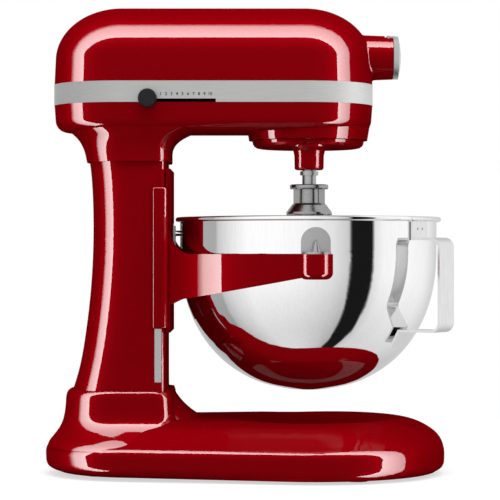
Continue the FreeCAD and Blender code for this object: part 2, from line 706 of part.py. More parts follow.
def bowl():
    outer = bowl_fill(BOWL_R, BOWL_BOTTOM_Z)
    flat = rod(60, (BOWL_X, 0, BOWL_BOTTOM_Z - 2), Z_AXIS, 2.7)
    outer = outer.cut(flat)
    inner = bowl_fill(BOWL_R - BOWL_WALL, BOWL_BOTTOM_Z + 2 * BOWL_WALL)
    bead = Part.makeTorus(BOWL_R + RIM_BEAD_R - 0.4, RIM_BEAD_R, V(BOWL_X, 0, RIM_Z), Z_AXIS)
    return join([outer.cut(inner), bead])


def bowl_brackets():
    made = []
    half = 13.0
    shell = tube(BOWL_R + 2.0, BOWL_R, (BOWL_X, 0, 195), Z_AXIS, 40)
    for side in (-1, 1):
        low, high = sorted((side * 100, side * 125))
        tab = box(PIN_X - half, PIN_X + half, low, high, ARM_TOP_Z, 212.6)
        tab = tab.fuse(rod(half, (PIN_X, low, 212.6), Y_AXIS, 25))
        shelf = rod(half, (PIN_X, side * PIN_Y, ARM_TOP_Z), Z_AXIS, 2.0)
        low, high = sorted((side * 112, side * PIN_Y))
        shelf = shelf.fuse(box(PIN_X - half, PIN_X + half, low, high, ARM_TOP_Z, ARM_TOP_Z + 2.0))
        shelf = shelf.cut(rod(BOWL_R, (BOWL_X, 0, 190), Z_AXIS, 40))
        bracket = shell.common(tab).fuse(shelf).removeSplitter()
        made.append(bracket.cut(rod(4.3, (PIN_X, side * PIN_Y, 190), Z_AXIS, 40)))
    return Part.makeCompound(made)


def strap(points, radius):
    """Strip of even thickness that follows a bent centre line in the xz plane."""
    half = HANDLE_T / 2
    wire = Part.Wire(path([V(r, 0, z) for r, z in points]))
    closed = []
    for offset in (half, -half):
        closed.append(wire.makeOffset2D(offset, 2, False, True))
    first = closed[0].OrderedVertexes
    second = closed[1].OrderedVertexes
    corners = [v.Point for v in first] + [v.Point for v in reversed(second)]
    strip = face(path(corners + corners[:1])).extrude(V(0, HANDLE_W, 0))
    strip.translate(V(0, -HANDLE_W / 2, 0))
    edges = []
    for edge in strip.Edges:
        middle = edge.CenterOfMass
        along = abs(edge.Vertexes[0].Point.y - edge.Vertexes[-1].Point.y) > 1
        if along and middle.x > HANDLE_REACH - 12:
            edges.append(edge)
    outer = [e for e in edges if e.CenterOfMass.x > HANDLE_REACH - 1]
    inner = [e for e in edges if e.CenterOfMass.x < HANDLE_REACH - 1]
    strip = strip.makeFillet(radius + HANDLE_T, outer)
    matched = []
    for edge in strip.Edges:
        for old in inner:
            if (edge.CenterOfMass - old.CenterOfMass).Length < 0.05:
                matched.append(edge)
    return strip.makeFillet(radius, matched)


def bowl_handle():
    mid = HANDLE_T / 2
    wall = BOWL_R + mid
    points = [(wall, 231.0), (wall, HANDLE_TOP_Z), (HANDLE_REACH - mid, HANDLE_TOP_Z),
              (HANDLE_REACH - mid, HANDLE_LOW_Z), (105.4, HANDLE_LOW_Z), (97.2, 119.0)]
    handle = strap(points, 7.0)
    handle.rotate(V(0, 0, 0), Z_AXIS, HANDLE_ANGLE)
    handle.translate(V(BOWL_X, 0, 0))
    return handle.cut(bowl_fill(BOWL_R, BOWL_BOTTOM_Z))


def bowl_latch_pin():
    wall_x = BOWL_X - BOWL_R
    pin = rod(2.6, (wall_x - 4.6, 0, 221), X_AXIS, 6)
    head = rod(4.2, (wall_x - 5.4, 0, 221), X_AXIS, 1.4)
    return pin.fuse(head).removeSplitter().cut(rod(BOWL_R, (BOWL_X, 0, 200), Z_AXIS, 30))


def spring_latch():
    leaf = box(-70, -67.0, -8, 8, 207, 230)
    lips = []
    for side in (-1, 1):
        low, high = sorted((side * 5.4, side * 8.0))
        lips.append(box(-68, -65.4, low, high, 209, 228))
    clip = join([leaf] + lips).common(rod(YOKE_IN_R - 0.6, (BOWL_X, 0, 200), Z_AXIS, 40))
    return clip.cut(box(-90, PLATE_FRONT_X, -20, 20, 200, 240))


def planetary_housing():
    profile = [(0, 299.0), (44.5, 299.0), (47.6, 299.6), (49.9, 301.2), (51.1, 303.4),
               (51.3, 305.9), (0, 305.9)]
    disc = turned(profile, BOWL_X)
    hub = rod(14, (BOWL_X, 0, 304), Z_AXIS, 12)
    boss_profile = [(0, 278.2), (11.4, 278.2), (12.7, 278.8), (13.2, 280.2), (13.4, 291), (14.4, 295.6),
                    (17.6, 299.4), (17.6, 301), (0, 301)]
    boss = turned(boss_profile, BOWL_X, -BEATER_OFFSET)
    body = join([disc, hub, boss])
    body = body.common(rod(51.3, (BOWL_X, 0, 270), Z_AXIS, 60))
    body = body.cut(rod(MAIN_SHAFT_R, (BOWL_X, 0, 301.4), Z_AXIS, 30))
    body = body.cut(rod(9.5, (BOWL_X, -BEATER_OFFSET, 270), Z_AXIS, 60))
    return body.cut(rod(2, (BOWL_X - 20, 0, 311), X_AXIS, 40))


def planetary_shaft():
    shaft = rod(MAIN_SHAFT_R, (BOWL_X, 0, 301.4), Z_AXIS, 71.7)
    return shaft.cut(rod(2, (BOWL_X - 20, 0, 311), X_AXIS, 40))


def planetary_pin():
    return rod(2, (BOWL_X - 14.5, 0, 311), X_AXIS, 29)


def planetary_bearings():
    rings = [tube(13, MAIN_SHAFT_R + RUNNING_GAP, (BOWL_X, 0, z), Z_AXIS, 8) for z in (319, 337.5)]
    return Part.makeCompound(rings)


def beater_bushes():
    bore = BEATER_SHAFT_R + RUNNING_GAP
    rings = [tube(9.5, bore, (BOWL_X, -BEATER_OFFSET, z), Z_AXIS, 9) for z in (278.8, 295.5)]
    return Part.makeCompound(rings)


def flank_angle(radius, pitch_r, thickness):
    """Half the angle of a tooth with 20 degree involute flanks at a radius."""
    base_r = pitch_r * math.cos(math.radians(20))
    pitch_inv = math.tan(math.radians(20)) - math.radians(20)
    here = math.acos(min(1.0, base_r / max(radius, base_r)))
    return thickness / (2 * pitch_r) + pitch_inv - (math.tan(here) - here)


def gear_outline(teeth, module, thickness, above, below, start=0.0):
    """Closed outline of a spur gear, one tooth centred on the start angle in degrees."""
    pitch_r = teeth * module / 2
    radii = (pitch_r - below, pitch_r, pitch_r + above)
    angles = [flank_angle(r, pitch_r, thickness) for r in radii]
    edges = []
    flats = []
    for index in range(teeth):
        middle = math.radians(start) + 2 * math.pi * index / teeth
        rise = [V(r * math.cos(middle - a), r * math.sin(middle - a), 0) for r, a in zip(radii, angles)]
        fall = [V(r * math.cos(middle + a), r * math.sin(middle + a), 0) for r, a in zip(radii, angles)]
        flats.append((rise[0], fall[0]))
        edges.append([arc(*rise), line(rise[2], fall[2]), arc(fall[2], fall[1], fall[0])])
    outline = []
    for index in range(teeth):
        outline += edges[index]
        outline.append(line(flats[index][1], flats[(index + 1) % teeth][0]))
    return Part.Wire(outline)


def spur_gear(teeth, module, width, start=0.0, play=0.25):
    thickness = math.pi * module / 2 - play
    outline = gear_outline(teeth, module, thickness, module, 1.25 * module, start)
    return Part.Face(outline).extrude(V(0, 0, width))


def ring_gear():
    thickness = math.pi * PLANET_MODULE / 2 + 0.25
    outline = gear_outline(RING_TEETH, PLANET_MODULE, thickness, 1.3 * PLANET_MODULE, 0.9 * PLANET_MODULE)
    inside = Part.Face(outline).extrude(V(0, 0, 12))
    ring = rod(50, (0, 0, 0), Z_AXIS, 10).cut(inside)
    ring.translate(V(BOWL_X, 0, DRUM_CEILING_Z - 10))
    return ring


def beater_pinion():
    gear = spur_gear(PINION_TEETH, PLANET_MODULE, 9, -90)
    gear = gear.cut(rod(BEATER_SHAFT_R, (0, 0, -1), Z_AXIS, 20))
    gear.translate(V(BOWL_X, -BEATER_OFFSET, 308.4))
    return gear


def beater_shaft():
    shaft = rod(BEATER_SHAFT_R, (BOWL_X, -BEATER_OFFSET, 242), Z_AXIS, 75.4)
    return shaft.cut(rod(1.8, (BOWL_X - 20, -BEATER_OFFSET, 254), X_AXIS, 40))


def beater_cross_pin():
    return rod(1.8, (BOWL_X - 11, -BEATER_OFFSET, 254), X_AXIS, 22)


def beater_washer():
    return tube(8.3, BEATER_SHAFT_R, (BOWL_X, -BEATER_OFFSET, 273.4), Z_AXIS, 3.6)


def whip_hub():
    """Round skirt that holds the wires, a socket for the shaft with two webs, and a flange on top."""
    profile = [(0, 236.8), (20.0, 236.8), (20.8, 238.2), (20.6, 240.0), (16.0, 246.2),
               (14.2, 248.0), (9.8, 248.4), (9.6, 260.8), (17.0, 260.8), (17.5, 261.8),
               (17.5, 264.2), (16.8, 265.0), (0, 265.0)]
    hub = turned(profile, BOWL_X, -BEATER_OFFSET)
    web = box(BOWL_X - 14.2, BOWL_X + 14.2, -BEATER_OFFSET - 4.2, -BEATER_OFFSET + 4.2, 247, 262)
    hub = join([hub, web])
    hub = hub.cut(rod(BEATER_SHAFT_R, (BOWL_X, -BEATER_OFFSET, 242), Z_AXIS, 40))
    slot = box(BOWL_X - 12, BOWL_X + 12, -BEATER_OFFSET - 1.9, -BEATER_OFFSET + 1.9, 252.1, 270)
    underside = turned([(0, 230), (16.6, 230), (15.6, 239), (0, 239)], BOWL_X, -BEATER_OFFSET)
    return hub.cut(slot).cut(underside)


def wire_arc(centre_x, centre_z, radius, first, last):
    """Round wire bent to an arc in the xz plane, angles in degrees from +x towards +z."""
    start = math.radians(first)
    place = V(centre_x + radius * math.cos(start), 0, centre_z + radius * math.sin(start))
    along = V(-math.sin(start), 0, math.cos(start))
    disc = Part.Face(Part.Wire(Part.makeCircle(WIRE_R, place, along)))
    return disc.revolve(V(centre_x, 0, centre_z), V(0, -1, 0), last - first)


def whip_loop(index):
    """One wire: a half circle below and an arc up to the hub on each side."""
    radius = WHIP_R - LOOP_STEP * index / 2
    side_z = WHIP_SIDE_Z + LOOP_STEP * index / 2
    inward = radius - WHIP_RING_R
    rise = WHIP_RING_Z - side_z
    bend_r = (inward ** 2 + rise ** 2) / (2 * inward)
    sweep = math.degrees(math.asin(rise / bend_r))
    right = wire_arc(radius - bend_r, side_z, bend_r, 0, sweep)
    left = wire_arc(bend_r - radius, side_z, bend_r, 180 - sweep, 180)
    loop = join([right, left, wire_arc(0, side_z, radius, 180, 360)])
    loop.rotate(V(0, 0, 0), Z_AXIS, 180.0 * index / WHIP_LOOPS + 8)
    loop.translate(V(BOWL_X, -BEATER_OFFSET, 0))
    return loop


def whip_wires():
    return Part.makeCompound([whip_loop(index) for index in range(WHIP_LOOPS)])


def bevel_gear(teeth, mate_teeth, body_points, share=0.41):
    """Straight bevel gear about z with its cone point at the origin and its teeth looking up."""
    pitch_r = teeth * BEVEL_MODULE / 2
    drop = mate_teeth * BEVEL_MODULE / 2
    reach = math.hypot(pitch_r, drop)
    scale = (reach - BEVEL_FACE) / reach
    away = (drop / reach, pitch_r / reach)
    half = share * math.pi * BEVEL_MODULE / 2
    above = 0.95 * BEVEL_MODULE
    below = 1.5 * BEVEL_MODULE
    tan20 = math.tan(math.radians(20))
    root = half + below * tan20 * 0.6
    tip = half - above * tan20
    corners = [(-below, -root), (above, -tip), (above, tip), (-below, root)]
    body = turned(body_points, 0)
    solids = [body]
    for index in range(teeth):
        angle = 2 * math.pi * (index + (0.5 if teeth < mate_teeth else 0)) / teeth
        wires = []
        for size in (1.0, scale):
            ring = []
            for lift, side in corners:
                r = (pitch_r + lift * away[0]) * size
                z = (-drop + lift * away[1]) * size
                t = side * size
                x = r * math.cos(angle) - t * math.sin(angle)
                y = r * math.sin(angle) + t * math.cos(angle)
                ring.append(V(x, y, z))
            wires.append(Part.makePolygon(ring + ring[:1]))
        solids.append(Part.makeLoft(wires, True, True))
    return join(solids)


def main_bevel_gear():
    gear = bevel_gear(BEVEL_TEETH, BEVEL_PINION_TEETH, [
        (MAIN_SHAFT_R, -9.9), (24.4, -9.9), (33.4, -13.3), (33.4, -17),
        (13.5, -21), (13.5, -34), (MAIN_SHAFT_R, -34)])
    gear.translate(V(BOWL_X, 0, HUB_Z))
    return gear


def small_bevel(turn):
    gear = bevel_gear(BEVEL_PINION_TEETH, BEVEL_TEETH, [
        (SMALL_SHAFT_R, -25.4), (6.8, -25.4), (9.2, -34.8), (9.2, -38), (SMALL_SHAFT_R, -38)])
    gear.rotate(V(0, 0, 0), Y_AXIS, turn)
    gear.translate(V(BOWL_X, 0, HUB_Z))
    return gear


def hub_bevel_pinion():
    return small_bevel(-90)


def hub_drive_shaft():
    cup_x = HUB_REAR_X + 5.7
    shaft = rod(SMALL_SHAFT_R, (BOWL_X + 25.4, 0, HUB_Z), X_AXIS, cup_x - BOWL_X - 25)
    cup = rod(11.5, (cup_x, 0, HUB_Z), X_AXIS, HUB_SEAT_X - cup_x - 0.8)
    socket = box(cup_x + 1, HUB_SEAT_X, -5.2, 5.2, HUB_Z - 5.2, HUB_Z + 5.2)
    return join([shaft, cup]).cut(socket)


def countershaft():
    """Shaft and bevel pinion in one piece."""
    shaft = rod(SMALL_SHAFT_R, (-15, 0, HUB_Z), X_AXIS, BOWL_X - 25.4 + 15)
    return join([shaft, small_bevel(90)])


def intermediate_gear():
    gear = spur_gear(SPUR_TEETH, SPUR_MODULE, 8, 180.0 / SPUR_TEETH)
    gear = gear.cut(rod(SMALL_SHAFT_R, (0, 0, -1), Z_AXIS, 20))
    gear.rotate(V(0, 0, 0), Y_AXIS, 90)
    gear.translate(V(-5, 0, HUB_Z))
    return gear


def motor_shaft():
    """Armature shaft with the pinion cut into its front end."""
    pinion = spur_gear(MOTOR_PINION_TEETH, SPUR_MODULE, 9)
    pinion.rotate(V(0, 0, 0), Y_AXIS, 90)
    pinion.translate(V(-5.5, 0, MOTOR_Z))
    shaft = rod(SMALL_SHAFT_R, (-119, 0, MOTOR_Z), X_AXIS, 111)
    step = rod(3.0, (-10, 0, MOTOR_Z), X_AXIS, 8)
    return join([shaft, step, pinion])


def shaft_bearings():
    places = [(-118.5, MOTOR_Z), (-14, MOTOR_Z), (-14, HUB_Z), (8, HUB_Z), (HUB_REAR_X + 0.1, HUB_Z)]
    rings = [tube(SMALL_BEARING_R, SMALL_SHAFT_R + RUNNING_GAP, (x, 0, z), X_AXIS, 5) for x, z in places]
    return Part.makeCompound(rings)


def motor_armature():
    core = tube(25.5, SMALL_SHAFT_R, (CORE_REAR_X, 0, MOTOR_Z), X_AXIS, CORE_FRONT_X - CORE_REAR_X)
    for index in range(12):
        slot = box(CORE_REAR_X - 1, CORE_FRONT_X + 1, -1.3, 1.3, 18, 27)
        slot.rotate(V(0, 0, 0), X_AXIS, 30 * index)
        slot.translate(V(0, 0, MOTOR_Z))
        core = core.cut(slot)
    ends = [tube(20, SMALL_SHAFT_R, (x, 0, MOTOR_Z), X_AXIS, 9) for x in (CORE_REAR_X - 9, CORE_FRONT_X)]
    return join([core] + ends)


def commutator():
    return tube(12, SMALL_SHAFT_R, (-109, 0, MOTOR_Z), X_AXIS, 13)


def cooling_fan():
    disc = tube(34, SMALL_SHAFT_R, (-26, 0, MOTOR_Z), X_AXIS, 1.6)
    hub = tube(9, SMALL_SHAFT_R, (-26, 0, MOTOR_Z), X_AXIS, 9)
    parts = [disc, hub]
    for index in range(10):
        blade = box(-26, -18.5, -0.7, 0.7, 13, 33.5)
        blade.rotate(V(0, 0, 0), X_AXIS, 36 * index)
        blade.translate(V(0, 0, MOTOR_Z))
        parts.append(blade)
    return join(parts)


def field_core():
    ring = tube(MOTOR_R, 33, (CORE_REAR_X, 0, MOTOR_Z), X_AXIS, CORE_FRONT_X - CORE_REAR_X)
    poles = tube(34, 26.3, (CORE_REAR_X, 0, MOTOR_Z), X_AXIS, CORE_FRONT_X - CORE_REAR_X)
    window = box(CORE_REAR_X - 1, CORE_FRONT_X + 1, -60, 60, MOTOR_Z - 13, MOTOR_Z + 13)
    return join([ring, poles.cut(window)])


def field_coils():
    coils = []
    for start in (CORE_REAR_X - 9, CORE_FRONT_X):
        coils.append(tube(33, 27, (start, 0, MOTOR_Z), X_AXIS, 9))
    return Part.makeCompound(coils)


def motor_end_bracket():
    plate = rod(40, (-118.5, 0, MOTOR_Z), X_AXIS, 5)
    plate = plate.common(box(-130, -100, -40, 40, MOTOR_Z - 14, MOTOR_Z + 14))
    plate = plate.cut(rod(SMALL_BEARING_R, (-120, 0, MOTOR_Z), X_AXIS, 10))
    arms = []
    for side in (-1, 1):
        low, high = sorted((side * 34.0, side * 38.0))
        arms.append(box(-118.5, CORE_REAR_X, low, high, MOTOR_Z - 6, MOTOR_Z + 6))
    holders = []
    for side in (-1, 1):
        low, high = sorted((side * 14.0, side * 35.0))
        outer = box(-107.5, -97.5, low, high, MOTOR_Z - 5, MOTOR_Z + 5)
        low, high = sorted((side * 13.0, side * 31.0))
        holders.append(outer.cut(box(-105.5, -99.5, low, high, MOTOR_Z - 3, MOTOR_Z + 3)))
    return join([plate] + arms + holders)


def carbon_brushes():
    made = []
    for side in (-1, 1):
        low, high = sorted((side * 12.4, side * 26.0))
        made.append(box(-105.5, -99.5, low, high, MOTOR_Z - 3, MOTOR_Z + 3))
    return Part.makeCompound(made)


def gear_bracket():
    floor = HEAD_FLOOR_Z + HEAD_WALL
    plate = box(-14, -8.5, -42, 42, floor, HUB_Z + 13)
    for low, high in ((-60, -22), (22, 60)):
        plate = plate.cut(box(-20, 0, low, high, MOTOR_Z + 14, 420))
    foot = box(-14, 0, -42, 42, floor, floor + 5)
    bracket = join([plate, foot])
    bracket = bracket.cut(rod(SMALL_BEARING_R, (-20, 0, MOTOR_Z), X_AXIS, 20))
    return bracket.cut(rod(SMALL_BEARING_R, (-20, 0, HUB_Z), X_AXIS, 30))


def front_bracket():
    plate = box(8, 13, -20, 20, GEAR_FLOOR_Z, HUB_Z + 13)
    foot = box(8, 24, -20, 20, GEAR_FLOOR_Z, GEAR_FLOOR_Z + 5)
    return join([plate, foot]).cut(rod(SMALL_BEARING_R, (0, 0, HUB_Z), X_AXIS, 30))


def control_board():
    return box(-104, -18, -50.6, -49.0, HEAD_FLOOR_Z + HEAD_WALL + 1, 336.5)


def speed_lever():
    tongue = box(SPEED_X - 4, SPEED_X + 4, -67, -51.2, SLOT_LOW_Z + 0.4, SLOT_HIGH_Z - 0.4)
    slider = box(SPEED_X - 4, SPEED_X + 4, -54, -51.2, 331, SLOT_HIGH_Z - 0.4)
    return tongue.fuse(slider).removeSplitter()


def speed_knob():
    knob = rod(8.3, (SPEED_X, -75.5, SPEED_Z), Y_AXIS, 12.2)
    knob = knob.makeFillet(1.6, [e for e in knob.Edges if abs(e.CenterOfMass.y + 75.5) < 0.1])
    return knob.cut(box(SPEED_X - 4, SPEED_X + 4, -67, -60, SLOT_LOW_Z + 0.4, SLOT_HIGH_Z - 0.4))


NODES = {
    "base": base,
    "base_feet": base_feet,
    "foot_screws": foot_screws,
    "column": column,
    "guide_rails": guide_rails,
    "cord_grommet": cord_grommet,
    "column_bolts": column_bolts,
    "head_lower_case": head_lower_case,
    "head_top_cover": head_top_cover,
    "trim_band": trim_band,
    "hub_hinge_pin": hub_hinge_pin,
    "hub_cover": hub_cover,
    "attachment_knob": attachment_knob,
    "attachment_screw": attachment_screw,
    "bowl_support": bowl_support,
    "slide_pads": slide_pads,
    "locating_pins": locating_pins,
    "lift_yoke": lift_yoke,
    "lever_bush": lever_bush,
    "crank_shaft": crank_shaft,
    "crank_roller": crank_roller,
    "lift_lever": lift_lever,
    "lever_knob": lever_knob,
    "bowl": bowl,
    "bowl_brackets": bowl_brackets,
    "bowl_handle": bowl_handle,
    "bowl_latch_pin": bowl_latch_pin,
    "spring_latch": spring_latch,
    "planetary_housing": planetary_housing,
    "planetary_shaft": planetary_shaft,
    "planetary_pin": planetary_pin,
    "planetary_bearings": planetary_bearings,
    "ring_gear": ring_gear,
    "beater_bushes": beater_bushes,
    "beater_shaft": beater_shaft,
    "beater_pinion": beater_pinion,
    "beater_cross_pin": beater_cross_pin,
    "beater_washer": beater_washer,
    "whip_hub": whip_hub,
    "whip_wires": whip_wires,
    "main_bevel_gear": main_bevel_gear,
    "countershaft": countershaft,
    "intermediate_gear": intermediate_gear,
    "shaft_bearings": shaft_bearings,
    "hub_bevel_pinion": hub_bevel_pinion,
    "hub_drive_shaft": hub_drive_shaft,
    "motor_shaft": motor_shaft,
    "motor_armature": motor_armature,
    "commutator": commutator,
    "cooling_fan": cooling_fan,
    "field_core": field_core,
    "field_coils": field_coils,
    "motor_end_bracket": motor_end_bracket,
    "carbon_brushes": carbon_brushes,
    "gear_bracket": gear_bracket,
    "front_bracket": front_bracket,
    "control_board": control_board,
    "speed_lever": speed_lever,
    "speed_knob": speed_knob,
}


os.makedirs("parts", exist_ok=True)
for name, make in NODES.items():
    shape = make()
    shape.exportStep("parts/" + name + ".step")
    print(name, len(shape.Solids), shape.isValid(), round(shape.Volume / 1000, 2))
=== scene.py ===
import json
import math

import bmesh
import bpy
from mathutils import Matrix, Vector

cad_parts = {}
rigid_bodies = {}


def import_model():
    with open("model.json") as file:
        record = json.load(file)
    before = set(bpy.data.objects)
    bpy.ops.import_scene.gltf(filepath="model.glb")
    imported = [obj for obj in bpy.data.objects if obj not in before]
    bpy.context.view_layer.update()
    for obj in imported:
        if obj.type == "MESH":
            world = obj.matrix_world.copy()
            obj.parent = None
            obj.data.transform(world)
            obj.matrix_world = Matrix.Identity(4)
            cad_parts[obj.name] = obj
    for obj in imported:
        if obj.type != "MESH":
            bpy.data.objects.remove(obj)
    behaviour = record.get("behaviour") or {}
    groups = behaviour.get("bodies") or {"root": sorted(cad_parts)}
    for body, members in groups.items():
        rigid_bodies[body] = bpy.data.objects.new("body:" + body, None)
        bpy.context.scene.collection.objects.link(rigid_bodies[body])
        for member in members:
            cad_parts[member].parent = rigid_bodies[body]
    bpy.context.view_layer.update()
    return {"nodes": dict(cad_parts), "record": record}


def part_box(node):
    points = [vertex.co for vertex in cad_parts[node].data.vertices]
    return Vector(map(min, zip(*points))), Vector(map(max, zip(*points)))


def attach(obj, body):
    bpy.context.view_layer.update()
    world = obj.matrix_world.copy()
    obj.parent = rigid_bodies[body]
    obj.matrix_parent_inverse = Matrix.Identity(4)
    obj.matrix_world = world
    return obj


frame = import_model()
nodes = frame["nodes"]

# Sizes of the bowl and its handle that the added details follow
MM = 0.001
BOWL_X = 57.1 * MM
BOWL_R = 118.2 * MM
HANDLE_T = 2.2 * MM
HANDLE_ANGLE = -35.5


# Material helpers

def empty_material(name):
    material = bpy.data.materials.new(name)
    material.use_nodes = True
    tree = material.node_tree
    tree.nodes.clear()
    out = tree.nodes.new("ShaderNodeOutputMaterial")
    return material, tree, out


def new_material(name):
    material, tree, out = empty_material(name)
    shader = tree.nodes.new("ShaderNodeBsdfPrincipled")
    tree.links.new(shader.outputs["BSDF"], out.inputs["Surface"])
    return material, tree, shader


def coordinates(tree, scale):
    """Object coordinates stretched by a scale for each axis."""
    place = tree.nodes.new("ShaderNodeTexCoord")
    mapping = tree.nodes.new("ShaderNodeMapping")
    mapping.inputs["Scale"].default_value = scale
    tree.links.new(place.outputs["Object"], mapping.inputs["Vector"])
    return mapping.outputs["Vector"]


def noise(tree, scale, detail=2.0, stretch=(1, 1, 1)):
    texture = tree.nodes.new("ShaderNodeTexNoise")
    texture.inputs["Scale"].default_value = scale
    texture.inputs["Detail"].default_value = detail
    tree.links.new(coordinates(tree, stretch), texture.inputs["Vector"])
    return texture.outputs["Fac"]


def ramp(tree, factor, low, high, start=0.3, end=0.7):
    node = tree.nodes.new("ShaderNodeValToRGB")
    first, last = node.color_ramp.elements
    first.position = start
    last.position = end
    first.color = (*low, 1)
    last.color = (*high, 1)
    tree.links.new(factor, node.inputs["Fac"])
    return node.outputs["Color"]


def spread(tree, factor, low, high):
    node = tree.nodes.new("ShaderNodeMapRange")
    node.inputs["From Min"].default_value = 0.3
    node.inputs["From Max"].default_value = 0.7
    node.inputs["To Min"].default_value = low
    node.inputs["To Max"].default_value = high
    tree.links.new(factor, node.inputs["Value"])
    return node.outputs["Result"]


def levels(tree, factor, stops):
    """Grey ramp through stops of a position between 0 and 1 and a level."""
    node = tree.nodes.new("ShaderNodeValToRGB")
    marks = node.color_ramp.elements
    for position, level in stops:
        marks.new(position).color = (level, level, level, 1)
    marks.remove(marks[0])
    marks.remove(marks[-1])
    tree.links.new(factor, node.inputs["Fac"])
    return node.outputs["Color"]


def bump(tree, factor, distance):
    node = tree.nodes.new("ShaderNodeBump")
    node.inputs["Distance"].default_value = distance
    tree.links.new(factor, node.inputs["Height"])
    return node.outputs["Normal"]


# Weight of the clear coat from face on to edge on, so that edges don't mirror the white room
EDGE_GLOSS = [(0.02, 1.0), (0.3, 1.0), (0.35, 0.05), (0.5, 0.015), (0.8, 0.004), (0.98, 0.001)]


def enamel(name, low, high):
    """Candy red enamel: fine metal flakes under a clear coat with a faint orange peel."""
    material, tree, shader = new_material(name)
    flakes = noise(tree, 1600, 1.0)
    tree.links.new(ramp(tree, flakes, low, high), shader.inputs["Base Color"])
    tree.links.new(spread(tree, flakes, 0.36, 0.42), shader.inputs["Roughness"])
    shader.inputs["Metallic"].default_value = 0.105
    shader.inputs["Specular IOR Level"].default_value = 0.0
    shader.inputs["Specular Tint"].default_value = (0.5, 0.005, 0.02, 1)
    edge = tree.nodes.new("ShaderNodeLayerWeight")
    edge.inputs["Blend"].default_value = 0.5
    tree.links.new(levels(tree, edge.outputs["Facing"], EDGE_GLOSS), shader.inputs["Coat Weight"])
    shader.inputs["Coat Roughness"].default_value = 0.02
    peel = bump(tree, noise(tree, 180, 1.0), 0.0000012)
    tree.links.new(peel, shader.inputs["Coat Normal"])
    return material


def metal(name, low, high, rough_low, rough_high, stretch, scale=60.0, depth=0.00001):
    """Metal with fine lines along one direction, from stretched noise."""
    material, tree, shader = new_material(name)
    lines = noise(tree, scale, 3.0, stretch)
    tree.links.new(ramp(tree, lines, low, high), shader.inputs["Base Color"])
    tree.links.new(spread(tree, lines, rough_low, rough_high), shader.inputs["Roughness"])
    shader.inputs["Metallic"].default_value = 1.0
    tree.links.new(bump(tree, lines, depth), shader.inputs["Normal"])
    return material


def plastic(name, low, high, rough_low, rough_high, scale=1200.0, depth=0.00003):
    """Moulded plastic or rubber with a fine grain."""
    material, tree, shader = new_material(name)
    grain = noise(tree, scale, 2.0)
    tree.links.new(ramp(tree, grain, low, high), shader.inputs["Base Color"])
    tree.links.new(spread(tree, grain, rough_low, rough_high), shader.inputs["Roughness"])
    tree.links.new(bump(tree, grain, depth), shader.inputs["Normal"])
    return material


def grey(level):
    return (level, level, level)


RED = enamel("candy_red", (0.262, 0.0002, 0.0032), (0.312, 0.0004, 0.0045))
BAND = metal("satin_band", (0.44, 0.44, 0.44), (0.50, 0.50, 0.49), 0.34, 0.44, (0.04, 0.04, 1.0), 2200.0)
ALUMINIUM = metal("brushed_aluminium", (0.40, 0.42, 0.41), (0.48, 0.50, 0.49), 0.32, 0.42,
                  (1, 1, 0.05), 900.0)
POLISHED = metal("mirror_steel", grey(0.86), grey(0.90), 0.03, 0.05, (1, 1, 0.1), 600.0, 0.0000003)
SATIN = metal("satin_steel", grey(0.68), grey(0.76), 0.12, 0.20, (1, 1, 0.1), 600.0, 0.000001)
STEEL = metal("machined_steel", grey(0.37), grey(0.43), 0.22, 0.34, (1, 1, 8), 500.0)
CAST = metal("cast_metal", grey(0.29), grey(0.36), 0.16, 0.26, (1, 1, 1), 700.0)
DARK = plastic("moulded_plastic", grey(0.024), grey(0.034), 0.42, 0.55)
PRINT = plastic("scale_print", grey(0.020), grey(0.030), 0.5, 0.6)
RUBBER = plastic("foot_rubber", grey(0.014), grey(0.022), 0.6, 0.75)
NYLON = plastic("slide_nylon", (0.60, 0.58, 0.52), (0.68, 0.66, 0.60), 0.4, 0.5)
BOARD = plastic("circuit_board", (0.02, 0.13, 0.05), (0.04, 0.17, 0.07), 0.35, 0.5, 300.0)
BRONZE = metal("bush_bronze", (0.42, 0.26, 0.11), (0.52, 0.33, 0.15), 0.28, 0.4, (1, 1, 1), 500.0)
COPPER = metal("coil_copper", (0.55, 0.24, 0.13), (0.66, 0.30, 0.17), 0.28, 0.4, (1, 1, 6), 500.0)

BRUSHED = [BAND, ALUMINIUM]
SMOOTH = [POLISHED, SATIN, STEEL, CAST, BRONZE, COPPER]

LOOKS = {
    "red_enamel": RED,
    "satin_aluminium": ALUMINIUM,
    "polished_steel": POLISHED,
    "steel": STEEL,
    "dark_plastic": DARK,
    "black_rubber": RUBBER,
    "bronze": BRONZE,
    "copper": COPPER,
    "nylon": NYLON,
    "board_green": BOARD,
}


def dress_nodes():
    for part in frame["record"]["subparts"]:
        mesh = nodes[part["node"]].data
        mesh.materials.clear()
        mesh.materials.append(LOOKS[part["material_slot"]])
    special = (("trim_band", BAND), ("whip_hub", CAST), ("bowl_brackets", STEEL), ("bowl_handle", SATIN))
    for name, look in special:
        nodes[name].data.materials.clear()
        nodes[name].data.materials.append(look)


dress_nodes()


# Printed and pressed details

def add_piece(name, mesh, body, look):
    piece = bpy.data.objects.new(name, mesh)
    bpy.context.scene.collection.objects.link(piece)
    mesh.materials.append(look)
    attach(piece, body)
    return piece


def number_mesh(text, height):
    """Flat number with a little thickness, drawn upright in the xz plane."""
    letters = bpy.data.curves.new("number_" + text, "FONT")
    letters.body = text
    letters.size = height / 0.70
    letters.align_x = "CENTER"
    letters.extrude = 0.03 * MM
    letters.offset = 0.09 * MM
    letters.resolution_u = 3
    holder = bpy.data.objects.new("number_" + text, letters)
    mesh = bpy.data.meshes.new_from_object(holder)
    bpy.data.objects.remove(holder)
    bpy.data.curves.remove(letters)
    mesh.transform(Matrix.Rotation(math.radians(90), 4, "X"))
    return mesh


